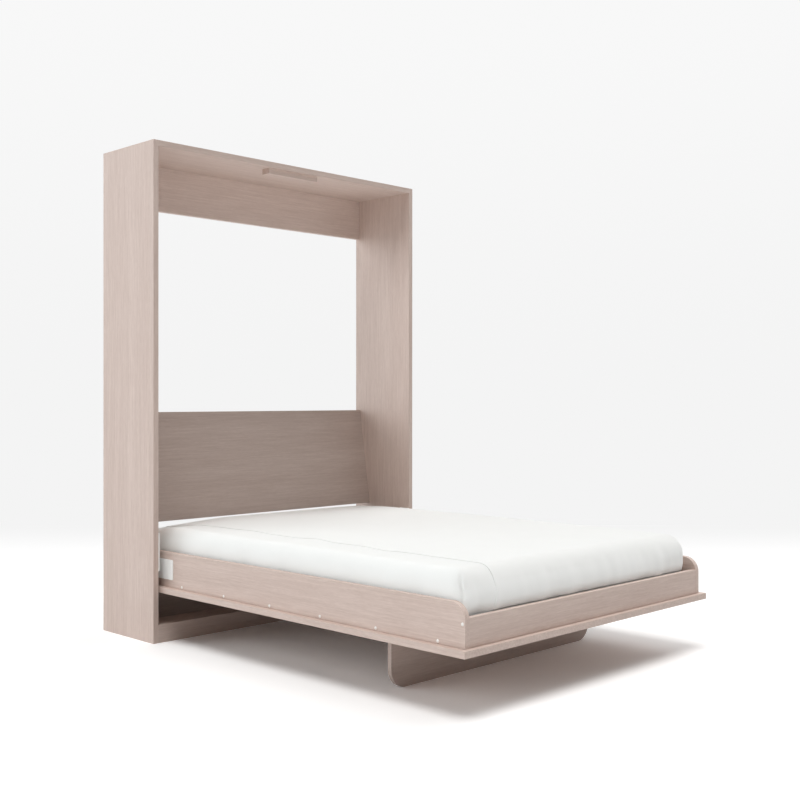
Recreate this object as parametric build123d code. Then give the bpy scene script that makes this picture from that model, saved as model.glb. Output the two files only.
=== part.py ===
from build123d import *
import math
import os

os.makedirs("parts", exist_ok=True)

# Wall bed: a mattress tray that tilts down out of an open-fronted cabinet and stands on a folding leg.
# Millimetres. X runs left to right seen from the front, Y points at the wall and Z is up.
# The origin is on the floor, in the middle of the cabinet's back plane. The bed is drawn let down.

# Mattress and its cover sheet
mattress_width = 1420
mattress_length = 2000
mattress_thickness = 200
mattress_rounding = 45
sheet_thickness = 1.2
sheet_left_margin = 146
soft_gap = 0.3  # between a soft piece and what it lies on
sheet_hem_above_foot_board = 2
sheet_reach = 10  # how far the sheet's outline passes the mattress

# Boards
board = 25
rail_board = 22
panel_thickness = 24
leg_board = 18

# Tray
mattress_side_gap = 8
mattress_foot_gap = 1.5
mattress_head_gap = 0.5
rail_height = 150
rail_corner_radius = 60
rail_end_step = 0.5
seam_chamfer = 2  # along the lower outer edges of the rails and the foot board
foot_board_height = 100
panel_overhang_side = 26
panel_overhang_foot = 20.5
panel_head_reach = 201.5  # from the pivot to the panel's head edge
ledger_width = 20
ledger_height = 30
centre_batten_width = 40
head_batten_depth = 36
slat_count = 13
slat_width = 68
slat_thickness = 18
slat_end_gap = 1
slat_foot_inset = 20
head_stop_thickness = 3
head_stop_height = 84
head_stop_end_inset = 10
head_stop_reach = 215  # from the pivot to the head stop's outer face
head_stop_drop = 47.5  # how far the head stop reaches below the pivot
stop_screw_count = 5
stop_screw_depth = 20
stop_head_height = 1.5

# Folding leg
leg_height = 217
leg_side_inset = 153
leg_foot_inset = 487
leg_corner_radius = 75
hinge_count = 4
hinge_width = 60
hinge_end_inset = 90
hinge_offset = 5  # from the hinge's axis to the panel and to the leg
hinge_knuckle_radius = 4.5
hinge_pin_radius = 2
hinge_leaf_thickness = 2
hinge_leaf_length = 40
hinge_leaf_relief = 6.5
hinge_running_gap = 0.3
leaf_screw_offset = 4

# Cabinet
cabinet_depth = 410
side_gap = 9  # between the face panel's edge and the cabinet's side
top_gap = 8.5  # between the closed panel and the top
pivot_setback = 86.5  # from the cabinet's front to the pivot
top_rail_height = 207
lower_back_height = 430
plinth_height = 78
plinth_top_depth = 117
stop_bar_length = 300
stop_bar_depth = 50
stop_bar_height = 25
stop_bar_gap = 0.5
headboard_height = 512
headboard_lean = 8.6
headboard_wall_gap = 7.5
headboard_drop = 4  # the headboard's lower edge hangs this far below the mattress's top
wedge_thickness = 22
wedge_end_inset = 30
wedge_wall_gap = 2
wedge_low_dowel_depth = 30  # from the wedge's rear face
wedge_low_dowel_rise = 30
wedge_high_dowel_depth = 14
wedge_high_dowel_rise = 60  # above the wedge's middle
headboard_dowel_places = [90, 250]  # up the headboard's face
headboard_dowel_in_board = 14
headboard_dowel_in_wedge = 20

# Lift mechanism, measured from the pivot or across from the cabinet side's inner face
plate_thickness = 3
plate_flange_width = 6.5
plate_front_inset = 0.5
plate_front_low = 7.5
plate_front_high = 171.5
plate_foot_reach = 26
plate_tail_reach = 24
plate_tail_drop = 41
plate_anchor_edge = 16  # from the rear strut anchor to the plate's edges
plate_anchor_edge_up = 32
plate_anchor_edge_down = 24
plate_screw_spots = [(-56, 152), (-56, 42), (34, 128), (54, -15), (164, 78), (174, 9)]
plate_screw_depth = 18
pivot_pin_radius = 8
pivot_collar_radius = 14
pivot_collar_thickness = 3
pivot_pin_end_gap = 1.5
bush_radius = 11
bush_flange_radius = 15
bush_flange_thickness = 1.5
rail_bore_depth = 15
bracket_foot_reach = 146.5
bracket_head_reach = 103.5
bracket_low = 29
bracket_high = 57
bracket_corner_radius = 6
bracket_screw_foot_reach = 72
bracket_screw_head_inset = 18
bracket_screw_low_inset = 14
bracket_screw_high_inset = 15
bracket_screw_depth = 16
sunk_head_height = 1.8
crank_forward = 20
crank_up = 90
crank_ear_width = 32
crank_stud_radius = 5
anchor_wall_gap = 48  # from the rear strut anchor to the wall
anchor_rise = 26.5  # from the pivot up to the rear strut anchor
anchor_collar_radius = 8
anchor_clip_thickness = 2
anchor_stud_overhang = 4
strut_plane = 20
strut_eye_radius = 10
strut_eye_thickness = 12
strut_tube_radius = 10.5
strut_bore_radius = 9.3
strut_tube_start = 14
strut_tube_end = 156
strut_end_wall = 6
strut_gland_length = 7
strut_rod_radius = 4.5
strut_neck_radius = 5.6
strut_neck_length = 26
rod_in_neck = 10
piston_radius = 9.2
piston_start = 139
piston_length = 6
open_pivot_gap = 0.3  # the crank stud stops this far from the strut's socket

# Fasteners
running_gap = 0.05  # radial, in a turning fit
set_gap = 0.02  # radial, where a pin is fixed
dowel_radius = 4
dowel_length = 35
dowel_hole_depth = 18
dowel_inset = 50  # from a board's end to its outermost dowel
top_dowel_count = 4
back_dowel_count = 3
plinth_dowel_shares = (0.3, 0.75)  # of the plinth's height
stop_dowel_depth = 15
hidden_end_gap = 0.5  # past a pin's or a screw's hidden end
screw_shank_radius = 2
screw_head_radius = 5
screw_head_height = 2.5
rail_cap_radius = 5.2
rail_cap_height = 1.5
rail_screw_pitch = 296
rail_screw_count = 6
rail_screw_first = 121
rail_screw_rise = 10
rail_screw_length = 36
foot_screw_drop = 19
hinge_screw_radius = 1.6
hinge_screw_head_radius = 3.5
hinge_screw_head_height = 1.2
hinge_screw_length = 12
wall_bracket_spacing = 1000
wall_bracket_width = 60
wall_bracket_leg = 45
wall_bracket_thickness = 3
wall_bracket_hole_radius = 2.75
wall_bracket_hole_low = 15
wall_bracket_hole_high = 33
bracket_top_screw_depth = 18

# Widths, from the mattress outwards
tray_inner_width = mattress_width + 2 * mattress_side_gap
tray_width = tray_inner_width + 2 * rail_board
panel_width = tray_width + 2 * panel_overhang_side
inner_width = panel_width + 2 * side_gap
cabinet_width = inner_width + 2 * board

# Places along Y
front_y = -cabinet_depth
pivot_y = front_y + pivot_setback
head_stop_y = pivot_y + head_stop_reach
rail_head_y = head_stop_y - head_stop_thickness
mattress_head_y = rail_head_y - mattress_head_gap
mattress_foot_y = mattress_head_y - mattress_length
foot_board_inner_y = mattress_foot_y - mattress_foot_gap
foot_board_outer_y = foot_board_inner_y - rail_board
rail_foot_y = foot_board_outer_y - rail_end_step
panel_foot_y = rail_foot_y - panel_overhang_foot
panel_head_y = pivot_y + panel_head_reach
leg_front_y = panel_foot_y + leg_foot_inset
leg_rear_y = leg_front_y + leg_board

# Heights. The pivot stands as far above the panel's underside as it lies behind the front,
# so the closed panel is flush with the cabinet's front edges.
panel_top = leg_height + panel_thickness
pivot_z = leg_height + pivot_setback
ledger_top = panel_top + ledger_height
slat_top = ledger_top + slat_thickness
mattress_bottom = slat_top + soft_gap
mattress_top = mattress_bottom + mattress_thickness
rail_top = panel_top + rail_height
foot_board_top = panel_top + foot_board_height
cabinet_height = pivot_z + (pivot_y - panel_foot_y) + top_gap + board
ceiling_z = cabinet_height - board


def block(x_low, x_high, y_low, y_high, z_low, z_high):
    size = (x_high - x_low, y_high - y_low, z_high - z_low)
    middle = ((x_low + x_high) / 2, (y_low + y_high) / 2, (z_low + z_high) / 2)
    return Pos(*middle) * Box(*size)


def rod_x(radius, x_low, x_high, y, z):
    return Pos((x_low + x_high) / 2, y, z) * Rot(0, 90, 0) * Cylinder(radius, x_high - x_low)


def rod_y(radius, y_low, y_high, x, z):
    return Pos(x, (y_low + y_high) / 2, z) * Rot(90, 0, 0) * Cylinder(radius, y_high - y_low)


def rod_z(radius, z_low, z_high, x, y):
    return Pos(x, y, (z_low + z_high) / 2) * Cylinder(radius, z_high - z_low)


def prism(points, x_low, x_high):
    # A flat outline of (y, z) points, thickened along X.
    outline = Wire.make_polygon([Vector(x_low, y, z) for y, z in points], close=True)
    return extrude(Face(outline), amount=x_high - x_low, dir=(1, 0, 0))


def mirrored(shape):
    return mirror(shape, about=Plane.YZ)


def cut_all(shape, tools):
    for tool in tools:
        shape = shape - tool
    return shape


def merged(shapes):
    # One compound of separate solids, for identical fasteners and slats.
    solids = []
    for shape in shapes:
        solids += shape.solids()
    return Compound(children=solids)


def joined(first, *others):
    for other in others:
        first = first + other
    return first


def save(name, shape):
    export_step(shape, f"parts/{name}.step")


def even_places(low, high, count):
    return [low + (high - low) * i / (count - 1) for i in range(count)]


# Cabinet boards. The left side's inner face is side_x, and depths across from it point at the bed.
side_x = -inner_width / 2


def across(depth):
    return side_x + depth


plinth_top_y = front_y + board + plinth_top_depth
top_dowels = [
    (y, cabinet_height - board / 2)
    for y in even_places(front_y + dowel_inset, -dowel_inset, top_dowel_count)
]
rail_dowels = [(-board / 2, ceiling_z - z) for z in (dowel_inset, top_rail_height - dowel_inset)]
back_dowels = [
    (-board / 2, z) for z in even_places(dowel_inset, lower_back_height - dowel_inset, back_dowel_count)
]
plinth_dowels = [(front_y + board / 2, plinth_height * share) for share in plinth_dowel_shares]
plinth_top_dowels = [(front_y + board + plinth_top_depth / 2, plinth_height - board / 2)]
all_dowels = top_dowels + rail_dowels + back_dowels + plinth_dowels + plinth_top_dowels


def end_holes(places):
    # Dowel holes in both ends of a board that fits between the cabinet's sides.
    holes = []
    for y, z in places:
        hole = rod_x(dowel_radius + set_gap, side_x, across(dowel_hole_depth), y, z)
        holes += [hole, mirrored(hole)]
    return holes


def side_holes(places):
    return [rod_x(dowel_radius + set_gap, across(-dowel_hole_depth), side_x, y, z) for y, z in places]


# Places of the lift mechanism's fasteners
plate_screws = [(pivot_y + dy, pivot_z + dz) for dy, dz in plate_screw_spots]
bracket_screws = [
    (pivot_y + dy, pivot_z + dz)
    for dy in (-bracket_screw_foot_reach, bracket_head_reach - bracket_screw_head_inset)
    for dz in (bracket_screw_low_inset - bracket_low, bracket_high - bracket_screw_high_inset)
]

# The cabinet's sides carry the boards' dowels, the pivot plates' screws and the headboard wedges' dowels.
lean = math.radians(headboard_lean)
headboard_bottom_z = mattress_top - headboard_drop
headboard_front_y = -headboard_wall_gap - headboard_height * math.sin(lean) - board * math.cos(lean)


def on_headboard(along, through):
    # A point measured up the headboard's front face and back through its thickness.
    y = headboard_front_y + along * math.sin(lean) + through * math.cos(lean)
    z = headboard_bottom_z + along * math.cos(lean) - through * math.sin(lean)
    return y, z


wedge_low = on_headboard(wedge_end_inset, board)
wedge_high = on_headboard(headboard_height - wedge_end_inset, board)
wedge_dowels = [
    (-wedge_wall_gap - wedge_low_dowel_depth, wedge_low[1] + wedge_low_dowel_rise),
    (-wedge_wall_gap - wedge_high_dowel_depth, (wedge_low[1] + wedge_high[1]) / 2 + wedge_high_dowel_rise),
]

left_side = block(-cabinet_width / 2, side_x, front_y, 0, 0, cabinet_height)
left_side = cut_all(left_side, side_holes(all_dowels + wedge_dowels))
screw_holes = [
    rod_x(screw_shank_radius + set_gap, across(-plate_screw_depth), side_x, y, z) for y, z in plate_screws
]
left_side = cut_all(left_side, screw_holes)
save("left_side_panel", left_side)
save("right_side_panel", mirrored(left_side))

stop_bar_y = front_y + panel_thickness + stop_bar_gap
stop_bar_dowel_places = [
    (x, stop_bar_y + stop_bar_depth / 2) for x in (-stop_bar_length / 3, stop_bar_length / 3)
]
stop_dowel_holes = [
    rod_z(dowel_radius + set_gap, ceiling_z - stop_dowel_depth, ceiling_z + stop_dowel_depth, x, y)
    for x, y in stop_bar_dowel_places
]
bracket_places = [-wall_bracket_spacing / 2, wall_bracket_spacing / 2]
bracket_top_screws = [
    (x + dx, -wall_bracket_leg / 2)
    for x in bracket_places
    for dx in (-wall_bracket_width / 4, wall_bracket_width / 4)
]
top_screw_holes = [
    rod_z(screw_shank_radius + set_gap, cabinet_height - bracket_top_screw_depth, cabinet_height, x, y)
    for x, y in bracket_top_screws
]
top_panel = block(side_x, -side_x, front_y, 0, ceiling_z, cabinet_height)
top_panel = cut_all(top_panel, end_holes(top_dowels) + stop_dowel_holes + top_screw_holes)
save("top_panel", top_panel)

rear_top_rail = block(side_x, -side_x, -board, 0, ceiling_z - top_rail_height, ceiling_z)
save("rear_top_rail", cut_all(rear_top_rail, end_holes(rail_dowels)))

lower_back = block(side_x, -side_x, -board, 0, 0, lower_back_height)
save("lower_back_panel", cut_all(lower_back, end_holes(back_dowels)))

plinth_front = block(side_x, -side_x, front_y, front_y + board, 0, plinth_height)
save("plinth_front", cut_all(plinth_front, end_holes(plinth_dowels)))

plinth_top = block(side_x, -side_x, front_y + board, plinth_top_y, plinth_height - board, plinth_height)
save("plinth_top", cut_all(plinth_top, end_holes(plinth_top_dowels)))

stop_bar = block(
    -stop_bar_length / 2,
    stop_bar_length / 2,
    stop_bar_y,
    stop_bar_y + stop_bar_depth,
    ceiling_z - stop_bar_height,
    ceiling_z,
)
save("stop_bar", cut_all(stop_bar, stop_dowel_holes))

dowels = []
for y, z in all_dowels + wedge_dowels:
    dowel = rod_x(dowel_radius, across(-dowel_length / 2), across(dowel_length / 2), y, z)
    dowels += [dowel, mirrored(dowel)]
for x, y in stop_bar_dowel_places:
    reach = stop_dowel_depth - hidden_end_gap
    dowels.append(rod_z(dowel_radius, ceiling_z - reach, ceiling_z + reach, x, y))

# The headboard leans back on two wedges that are dowelled to the sides.
headboard_outline = [
    on_headboard(0, 0),
    on_headboard(headboard_height, 0),
    on_headboard(headboard_height, board),
    on_headboard(0, board),
]
headboard_dowel_x = across(wedge_thickness / 2)


def headboard_rod(radius, along, low, high):
    # A cylinder square to the headboard, from low to high through its thickness.
    y, z = on_headboard(along, (low + high) / 2)
    return Pos(headboard_dowel_x, y, z) * Rot(90 - headboard_lean, 0, 0) * Cylinder(radius, high - low)


headboard = prism(headboard_outline, side_x, -side_x)
wedge_outline = [
    wedge_low,
    (-wedge_wall_gap, wedge_low[1]),
    (-wedge_wall_gap, wedge_high[1]),
    wedge_high,
]
left_wedge = prism(wedge_outline, side_x, across(wedge_thickness))
wedge_holes = [
    rod_x(dowel_radius + set_gap, side_x, across(dowel_hole_depth), y, z) for y, z in wedge_dowels
]
left_wedge = cut_all(left_wedge, wedge_holes)
for along in headboard_dowel_places:
    hole = headboard_rod(
        dowel_radius + set_gap, along, board - headboard_dowel_in_board, board + headboard_dowel_in_wedge
    )
    left_wedge = left_wedge - hole
    headboard = headboard - hole - mirrored(hole)
    dowel = headboard_rod(
        dowel_radius,
        along,
        board - headboard_dowel_in_board + hidden_end_gap,
        board + headboard_dowel_in_wedge - hidden_end_gap,
    )
    dowels += [dowel, mirrored(dowel)]
save("headboard", headboard)
save("left_headboard_wedge", left_wedge)
save("right_headboard_wedge", mirrored(left_wedge))
save("carcass_dowels", merged(dowels))

# Angle brackets on the top panel's rear edge fasten the cabinet to the wall.
wall_brackets = []
for x in bracket_places:
    low_x = x - wall_bracket_width / 2
    high_x = x + wall_bracket_width / 2
    flat_leg = block(
        low_x, high_x, -wall_bracket_leg, 0, cabinet_height, cabinet_height + wall_bracket_thickness
    )
    upright_leg = block(
        low_x, high_x, -wall_bracket_thickness, 0, cabinet_height, cabinet_height + wall_bracket_leg
    )
    bracket = flat_leg + upright_leg
    for rise in (wall_bracket_hole_low, wall_bracket_hole_high):
        bracket = bracket - rod_y(
            wall_bracket_hole_radius, -wall_bracket_thickness, 0, x, cabinet_height + rise
        )
    wall_brackets.append(bracket)
bracket_screw_solids = []
for x, y in bracket_top_screws:
    hole = rod_z(
        screw_shank_radius + set_gap, cabinet_height, cabinet_height + wall_bracket_thickness, x, y
    )
    wall_brackets = [bracket - hole for bracket in wall_brackets]
    shank = rod_z(
        screw_shank_radius,
        cabinet_height - bracket_top_screw_depth,
        cabinet_height + wall_bracket_thickness,
        x,
        y,
    )
    head_z = cabinet_height + wall_bracket_thickness
    head = rod_z(screw_head_radius, head_z, head_z + screw_head_height, x, y)
    bracket_screw_solids.append(shank + head)
save("wall_brackets", merged(wall_brackets))
save("wall_bracket_screws", merged(bracket_screw_solids))

# Tray: face panel, rails, foot board and what the mattress lies on
rail_inner_x = -tray_inner_width / 2
rail_outer_x = -tray_width / 2
bracket_outer_depth = side_gap + panel_overhang_side - plate_thickness
rail_depth = side_gap + panel_overhang_side

rail_screw_places = [
    (rail_foot_y + rail_screw_first + i * rail_screw_pitch, panel_top + rail_screw_rise)
    for i in range(rail_screw_count)
]
foot_screw_place = (foot_board_inner_y - rail_board / 2, foot_board_top - foot_screw_drop)


def rail_fastener(place, length):
    # A screw with a round white cap on the rail's outer face.
    y, z = place
    shank = rod_x(screw_shank_radius, rail_outer_x, rail_outer_x + length, y, z)
    cap = rod_x(rail_cap_radius, rail_outer_x - rail_cap_height, rail_outer_x, y, z)
    return shank + cap


def rail_fastener_hole(place, length):
    y, z = place
    return rod_x(screw_shank_radius + set_gap, rail_outer_x, rail_outer_x + length, y, z)


left_rail = block(rail_outer_x, rail_inner_x, rail_foot_y, rail_head_y, panel_top, rail_top)
foot_top_edge = left_rail.edges().filter_by(Axis.X).sort_by(lambda e: e.center().Z - e.center().Y)[-1]
left_rail = fillet(foot_top_edge, rail_corner_radius)
rail_seam = left_rail.edges().filter_by(Axis.Y).group_by(Axis.Z)[0].sort_by(Axis.X)[0]
left_rail = chamfer(rail_seam, seam_chamfer)
ledger_holes = [rail_fastener_hole(place, rail_screw_length) for place in rail_screw_places]
foot_hole = rail_fastener_hole(foot_screw_place, rail_screw_length)
left_rail = cut_all(left_rail, ledger_holes + [foot_hole])
left_rail = left_rail - rod_x(
    bush_radius + set_gap, across(rail_depth), across(rail_depth + rail_bore_depth), pivot_y, pivot_z
)
bracket_screw_holes = [
    rod_x(screw_shank_radius + set_gap, across(rail_depth), across(rail_depth + bracket_screw_depth), y, z)
    for y, z in bracket_screws
]
left_rail = cut_all(left_rail, bracket_screw_holes)
save("left_rail", left_rail)
save("right_rail", mirrored(left_rail))

foot_board = block(
    rail_inner_x, -rail_inner_x, foot_board_outer_y, foot_board_inner_y, panel_top, foot_board_top
)
foot_seam = foot_board.edges().filter_by(Axis.X).group_by(Axis.Z)[0].sort_by(Axis.Y)[0]
foot_board = chamfer(foot_seam, seam_chamfer)
save("foot_board", foot_board - foot_hole - mirrored(foot_hole))

left_ledger_y = rail_head_y - head_batten_depth
left_ledger = block(
    rail_inner_x, rail_inner_x + ledger_width, foot_board_inner_y, left_ledger_y, panel_top, ledger_top
)
left_ledger = cut_all(left_ledger, ledger_holes)
save("left_ledger", left_ledger)
save("right_ledger", mirrored(left_ledger))

centre_batten = block(
    -centre_batten_width / 2,
    centre_batten_width / 2,
    foot_board_inner_y,
    left_ledger_y,
    panel_top,
    ledger_top,
)
save("centre_batten", centre_batten)

stop_half_width = tray_inner_width / 2 - head_stop_end_inset
stop_low_z = pivot_z - head_stop_drop
stop_screw_z = (stop_low_z + ledger_top) / 2
stop_screw_x = even_places(-stop_half_width + dowel_inset, stop_half_width - dowel_inset, stop_screw_count)
stop_screw_holes = [
    rod_y(screw_shank_radius + set_gap, rail_head_y - stop_screw_depth, head_stop_y, x, stop_screw_z)
    for x in stop_screw_x
]
head_batten = block(rail_inner_x, -rail_inner_x, left_ledger_y, rail_head_y, panel_top, ledger_top)
save("head_batten", cut_all(head_batten, stop_screw_holes))

head_stop = block(
    -stop_half_width, stop_half_width, rail_head_y, head_stop_y, stop_low_z, stop_low_z + head_stop_height
)
save("head_stop_plate", cut_all(head_stop, stop_screw_holes))

stop_screws = []
for x in stop_screw_x:
    shank = rod_y(screw_shank_radius, rail_head_y - stop_screw_depth, head_stop_y, x, stop_screw_z)
    head = rod_y(hinge_screw_head_radius, head_stop_y, head_stop_y + stop_head_height, x, stop_screw_z)
    stop_screws.append(shank + head)
save("head_stop_screws", merged(stop_screws))

slat_half_length = tray_inner_width / 2 - slat_end_gap
slat_low_y = foot_board_inner_y + slat_foot_inset + slat_width / 2
slat_high_y = rail_head_y - slat_width / 2
slats = [
    block(
        -slat_half_length, slat_half_length, y - slat_width / 2, y + slat_width / 2, ledger_top, slat_top
    )
    for y in even_places(slat_low_y, slat_high_y, slat_count)
]
save("slats", merged(slats))

rail_screws = []
for place in rail_screw_places + [foot_screw_place]:
    screw = rail_fastener(place, rail_screw_length - hidden_end_gap)
    rail_screws += [screw, mirrored(screw)]
save("rail_screws", merged(rail_screws))


# Mattress, and the thin sheet laid over it with its left edge showing
def mattress_form(growth):
    # The mattress's rounded box, grown on every side.
    form = block(
        -mattress_width / 2 - growth,
        mattress_width / 2 + growth,
        mattress_foot_y - growth,
        mattress_head_y + growth,
        mattress_bottom - growth,
        mattress_top + growth,
    )
    return fillet(form.edges(), mattress_rounding + growth)


save("mattress", mattress_form(0))

sheet_region = block(
    -mattress_width / 2 + sheet_left_margin,
    mattress_width / 2 + sheet_reach,
    mattress_foot_y - sheet_reach,
    mattress_head_y + sheet_reach,
    foot_board_top + sheet_hem_above_foot_board,
    mattress_top + sheet_reach,
)
sheet = mattress_form(soft_gap + sheet_thickness) - mattress_form(soft_gap)
save("top_sheet", sheet & sheet_region)

# Folding leg and its butt hinges
hinge_y = leg_rear_y + hinge_offset
hinge_z = leg_height - hinge_offset
leg_half_width = panel_width / 2 - leg_side_inset
hinge_places = even_places(-leg_half_width + hinge_end_inset, leg_half_width - hinge_end_inset, hinge_count)
knuckle_length = hinge_width / 3
leaf_screw_reach = (hinge_leaf_relief + hinge_leaf_length) / 2 + leaf_screw_offset
leaf_screw_spread = hinge_width / 3


def knuckle(x_low, x_high):
    return rod_x(hinge_knuckle_radius, x_low, x_high, hinge_y, hinge_z)


def pin_clearance(x_low, x_high):
    return rod_x(hinge_pin_radius + running_gap, x_low, x_high, hinge_y, hinge_z)


panel_leaves = []
leg_leaves = []
hinge_pins = []
panel_leaf_screws = []
leg_leaf_screws = []
panel_screw_holes = []
leg_screw_holes = []
for middle in hinge_places:
    low_x = middle - hinge_width / 2
    high_x = middle + hinge_width / 2
    centre_low = middle - knuckle_length / 2
    centre_high = middle + knuckle_length / 2
    leaf_z = leg_height - hinge_leaf_thickness
    leaf = block(
        low_x, high_x, hinge_y + hinge_leaf_relief, hinge_y + hinge_leaf_length, leaf_z, leg_height
    )
    for a, b in ((low_x, centre_low - hinge_running_gap), (centre_high + hinge_running_gap, high_x)):
        tongue = block(a, b, hinge_y, hinge_y + hinge_leaf_relief, leaf_z, leg_height)
        leaf = leaf + tongue + knuckle(a, b) - pin_clearance(a, b)
    leg_leaf_y = leg_rear_y + hinge_leaf_thickness
    other = block(
        low_x, high_x, leg_rear_y, leg_leaf_y, hinge_z - hinge_leaf_length, hinge_z - hinge_leaf_relief
    )
    tongue = block(centre_low, centre_high, leg_rear_y, leg_leaf_y, hinge_z - hinge_leaf_relief, hinge_z)
    other = other + tongue + knuckle(centre_low, centre_high) - pin_clearance(centre_low, centre_high)
    hinge_pins.append(rod_x(hinge_pin_radius, low_x, high_x, hinge_y, hinge_z))
    for dx in (-leaf_screw_spread, leaf_screw_spread):
        x = middle + dx
        y = hinge_y + leaf_screw_reach
        hole = rod_z(hinge_screw_radius + set_gap, leaf_z, leg_height + hinge_screw_length, x, y)
        leaf = leaf - hole
        panel_screw_holes.append(hole)
        shank = rod_z(hinge_screw_radius, leaf_z, leg_height + hinge_screw_length - hidden_end_gap, x, y)
        head = rod_z(hinge_screw_head_radius, leaf_z - hinge_screw_head_height, leaf_z, x, y)
        panel_leaf_screws.append(shank + head)
        z = hinge_z - leaf_screw_reach
        hole = rod_y(hinge_screw_radius + set_gap, leg_rear_y - hinge_screw_length, leg_leaf_y, x, z)
        other = other - hole
        leg_screw_holes.append(hole)
        shank = rod_y(
            hinge_screw_radius, leg_rear_y - hinge_screw_length + hidden_end_gap, leg_leaf_y, x, z
        )
        head = rod_y(hinge_screw_head_radius, leg_leaf_y, leg_leaf_y + hinge_screw_head_height, x, z)
        leg_leaf_screws.append(shank + head)
    panel_leaves.append(leaf)
    leg_leaves.append(other)

leg = block(-leg_half_width, leg_half_width, leg_front_y, leg_rear_y, 0, leg_height)
leg = fillet(leg.edges().filter_by(Axis.Y).group_by(Axis.Z)[0], leg_corner_radius)
save("leg_board", cut_all(leg, leg_screw_holes))
save("hinge_panel_leaves", merged(panel_leaves))
save("hinge_leg_leaves", merged(leg_leaves))
save("hinge_pins", merged(hinge_pins))
save("hinge_panel_screws", merged(panel_leaf_screws))
save("hinge_leg_screws", merged(leg_leaf_screws))

face_panel = block(-panel_width / 2, panel_width / 2, panel_foot_y, panel_head_y, leg_height, panel_top)
save("face_panel", cut_all(face_panel, panel_screw_holes))

# Lift mechanism: a fixed plate on each cabinet side, a bracket on each rail and a gas strut between them
anchor_y = -anchor_wall_gap
anchor_z = pivot_z + anchor_rise
crank_y = pivot_y - crank_forward
crank_z = pivot_z + crank_up
plate_low = pivot_z + plate_front_low
plate_high = pivot_z + plate_front_high
plate_front_y = front_y + plate_front_inset
plate_foot_y = pivot_y - plate_foot_reach
plate_rear_y = anchor_y + plate_anchor_edge
plate_outline = [
    (plate_front_y, plate_low),
    (plate_front_y, plate_high),
    (plate_foot_y, plate_high),
    (plate_rear_y, anchor_z + plate_anchor_edge_up),
    (plate_rear_y, anchor_z - plate_anchor_edge_down),
    (pivot_y + plate_tail_reach, pivot_z - plate_tail_drop),
    (plate_foot_y, pivot_z - plate_tail_drop),
]
pivot_plate = prism(plate_outline, side_x, across(plate_thickness))
flange = block(
    side_x, across(plate_flange_width), plate_front_y, plate_front_y + plate_thickness, plate_low, plate_high
)
pivot_plate = pivot_plate + flange
plate_screw_solids = []
for y, z in plate_screws:
    pivot_plate = pivot_plate - rod_x(screw_shank_radius + set_gap, side_x, across(plate_thickness), y, z)
    shank = rod_x(
        screw_shank_radius, across(hidden_end_gap - plate_screw_depth), across(plate_thickness), y, z
    )
    head = rod_x(
        screw_head_radius, across(plate_thickness), across(plate_thickness + screw_head_height), y, z
    )
    screw = shank + head
    plate_screw_solids += [screw, mirrored(screw)]
save("left_pivot_plate", pivot_plate)
save("right_pivot_plate", mirrored(pivot_plate))
save("pivot_plate_screws", merged(plate_screw_solids))

pin_end_depth = rail_depth + rail_bore_depth - pivot_pin_end_gap
pivot_pin = rod_x(pivot_pin_radius, across(plate_thickness), across(pin_end_depth), pivot_y, pivot_z)
pivot_pin = pivot_pin + rod_x(
    pivot_collar_radius,
    across(plate_thickness),
    across(plate_thickness + pivot_collar_thickness),
    pivot_y,
    pivot_z,
)
save("left_pivot_pin", pivot_pin)
save("right_pivot_pin", mirrored(pivot_pin))

eye_low = strut_plane - strut_eye_thickness / 2
eye_high = strut_plane + strut_eye_thickness / 2
anchor_stud = joined(
    rod_x(
        crank_stud_radius,
        across(plate_thickness),
        across(eye_high + anchor_stud_overhang),
        anchor_y,
        anchor_z,
    ),
    rod_x(
        anchor_collar_radius,
        across(plate_thickness),
        across(eye_low - open_pivot_gap),
        anchor_y,
        anchor_z,
    ),
    rod_x(
        anchor_collar_radius,
        across(eye_high + open_pivot_gap),
        across(eye_high + open_pivot_gap + anchor_clip_thickness),
        anchor_y,
        anchor_z,
    ),
)
save("strut_anchor_studs", merged([anchor_stud, mirrored(anchor_stud)]))

bracket = block(
    across(bracket_outer_depth),
    across(rail_depth),
    pivot_y - bracket_foot_reach,
    pivot_y + bracket_head_reach,
    pivot_z - bracket_low,
    pivot_z + bracket_high,
)
bracket = fillet(bracket.edges().filter_by(Axis.X), bracket_corner_radius)
crank_length = math.hypot(crank_forward, crank_up)
crank_side_y = crank_ear_width / 2 * crank_up / crank_length
crank_side_z = crank_ear_width / 2 * crank_forward / crank_length
crank_bar = prism(
    [
        (pivot_y - crank_side_y, pivot_z - crank_side_z),
        (crank_y - crank_side_y, crank_z - crank_side_z),
        (crank_y + crank_side_y, crank_z + crank_side_z),
        (pivot_y + crank_side_y, pivot_z + crank_side_z),
    ],
    across(bracket_outer_depth),
    across(rail_depth),
)
bracket = joined(
    bracket,
    crank_bar,
    rod_x(crank_ear_width / 2, across(bracket_outer_depth), across(rail_depth), crank_y, crank_z),
)
bracket = bracket - rod_x(
    bush_radius + set_gap, across(bracket_outer_depth), across(rail_depth), pivot_y, pivot_z
)
bracket = bracket - rod_x(
    crank_stud_radius + set_gap, across(bracket_outer_depth), across(rail_depth), crank_y, crank_z
)
bracket_screw_solids = []
for y, z in bracket_screws:
    sunk_to = bracket_outer_depth + sunk_head_height
    recess = rod_x(screw_head_radius + set_gap, across(bracket_outer_depth), across(sunk_to), y, z)
    passage = rod_x(screw_shank_radius + set_gap, across(sunk_to), across(rail_depth), y, z)
    bracket = bracket - recess - passage
    head = rod_x(screw_head_radius, across(bracket_outer_depth), across(sunk_to), y, z)
    shank = rod_x(
        screw_shank_radius, across(sunk_to), across(rail_depth + bracket_screw_depth - hidden_end_gap), y, z
    )
    screw = head + shank
    bracket_screw_solids += [screw, mirrored(screw)]
save("left_tray_bracket", bracket)
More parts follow.
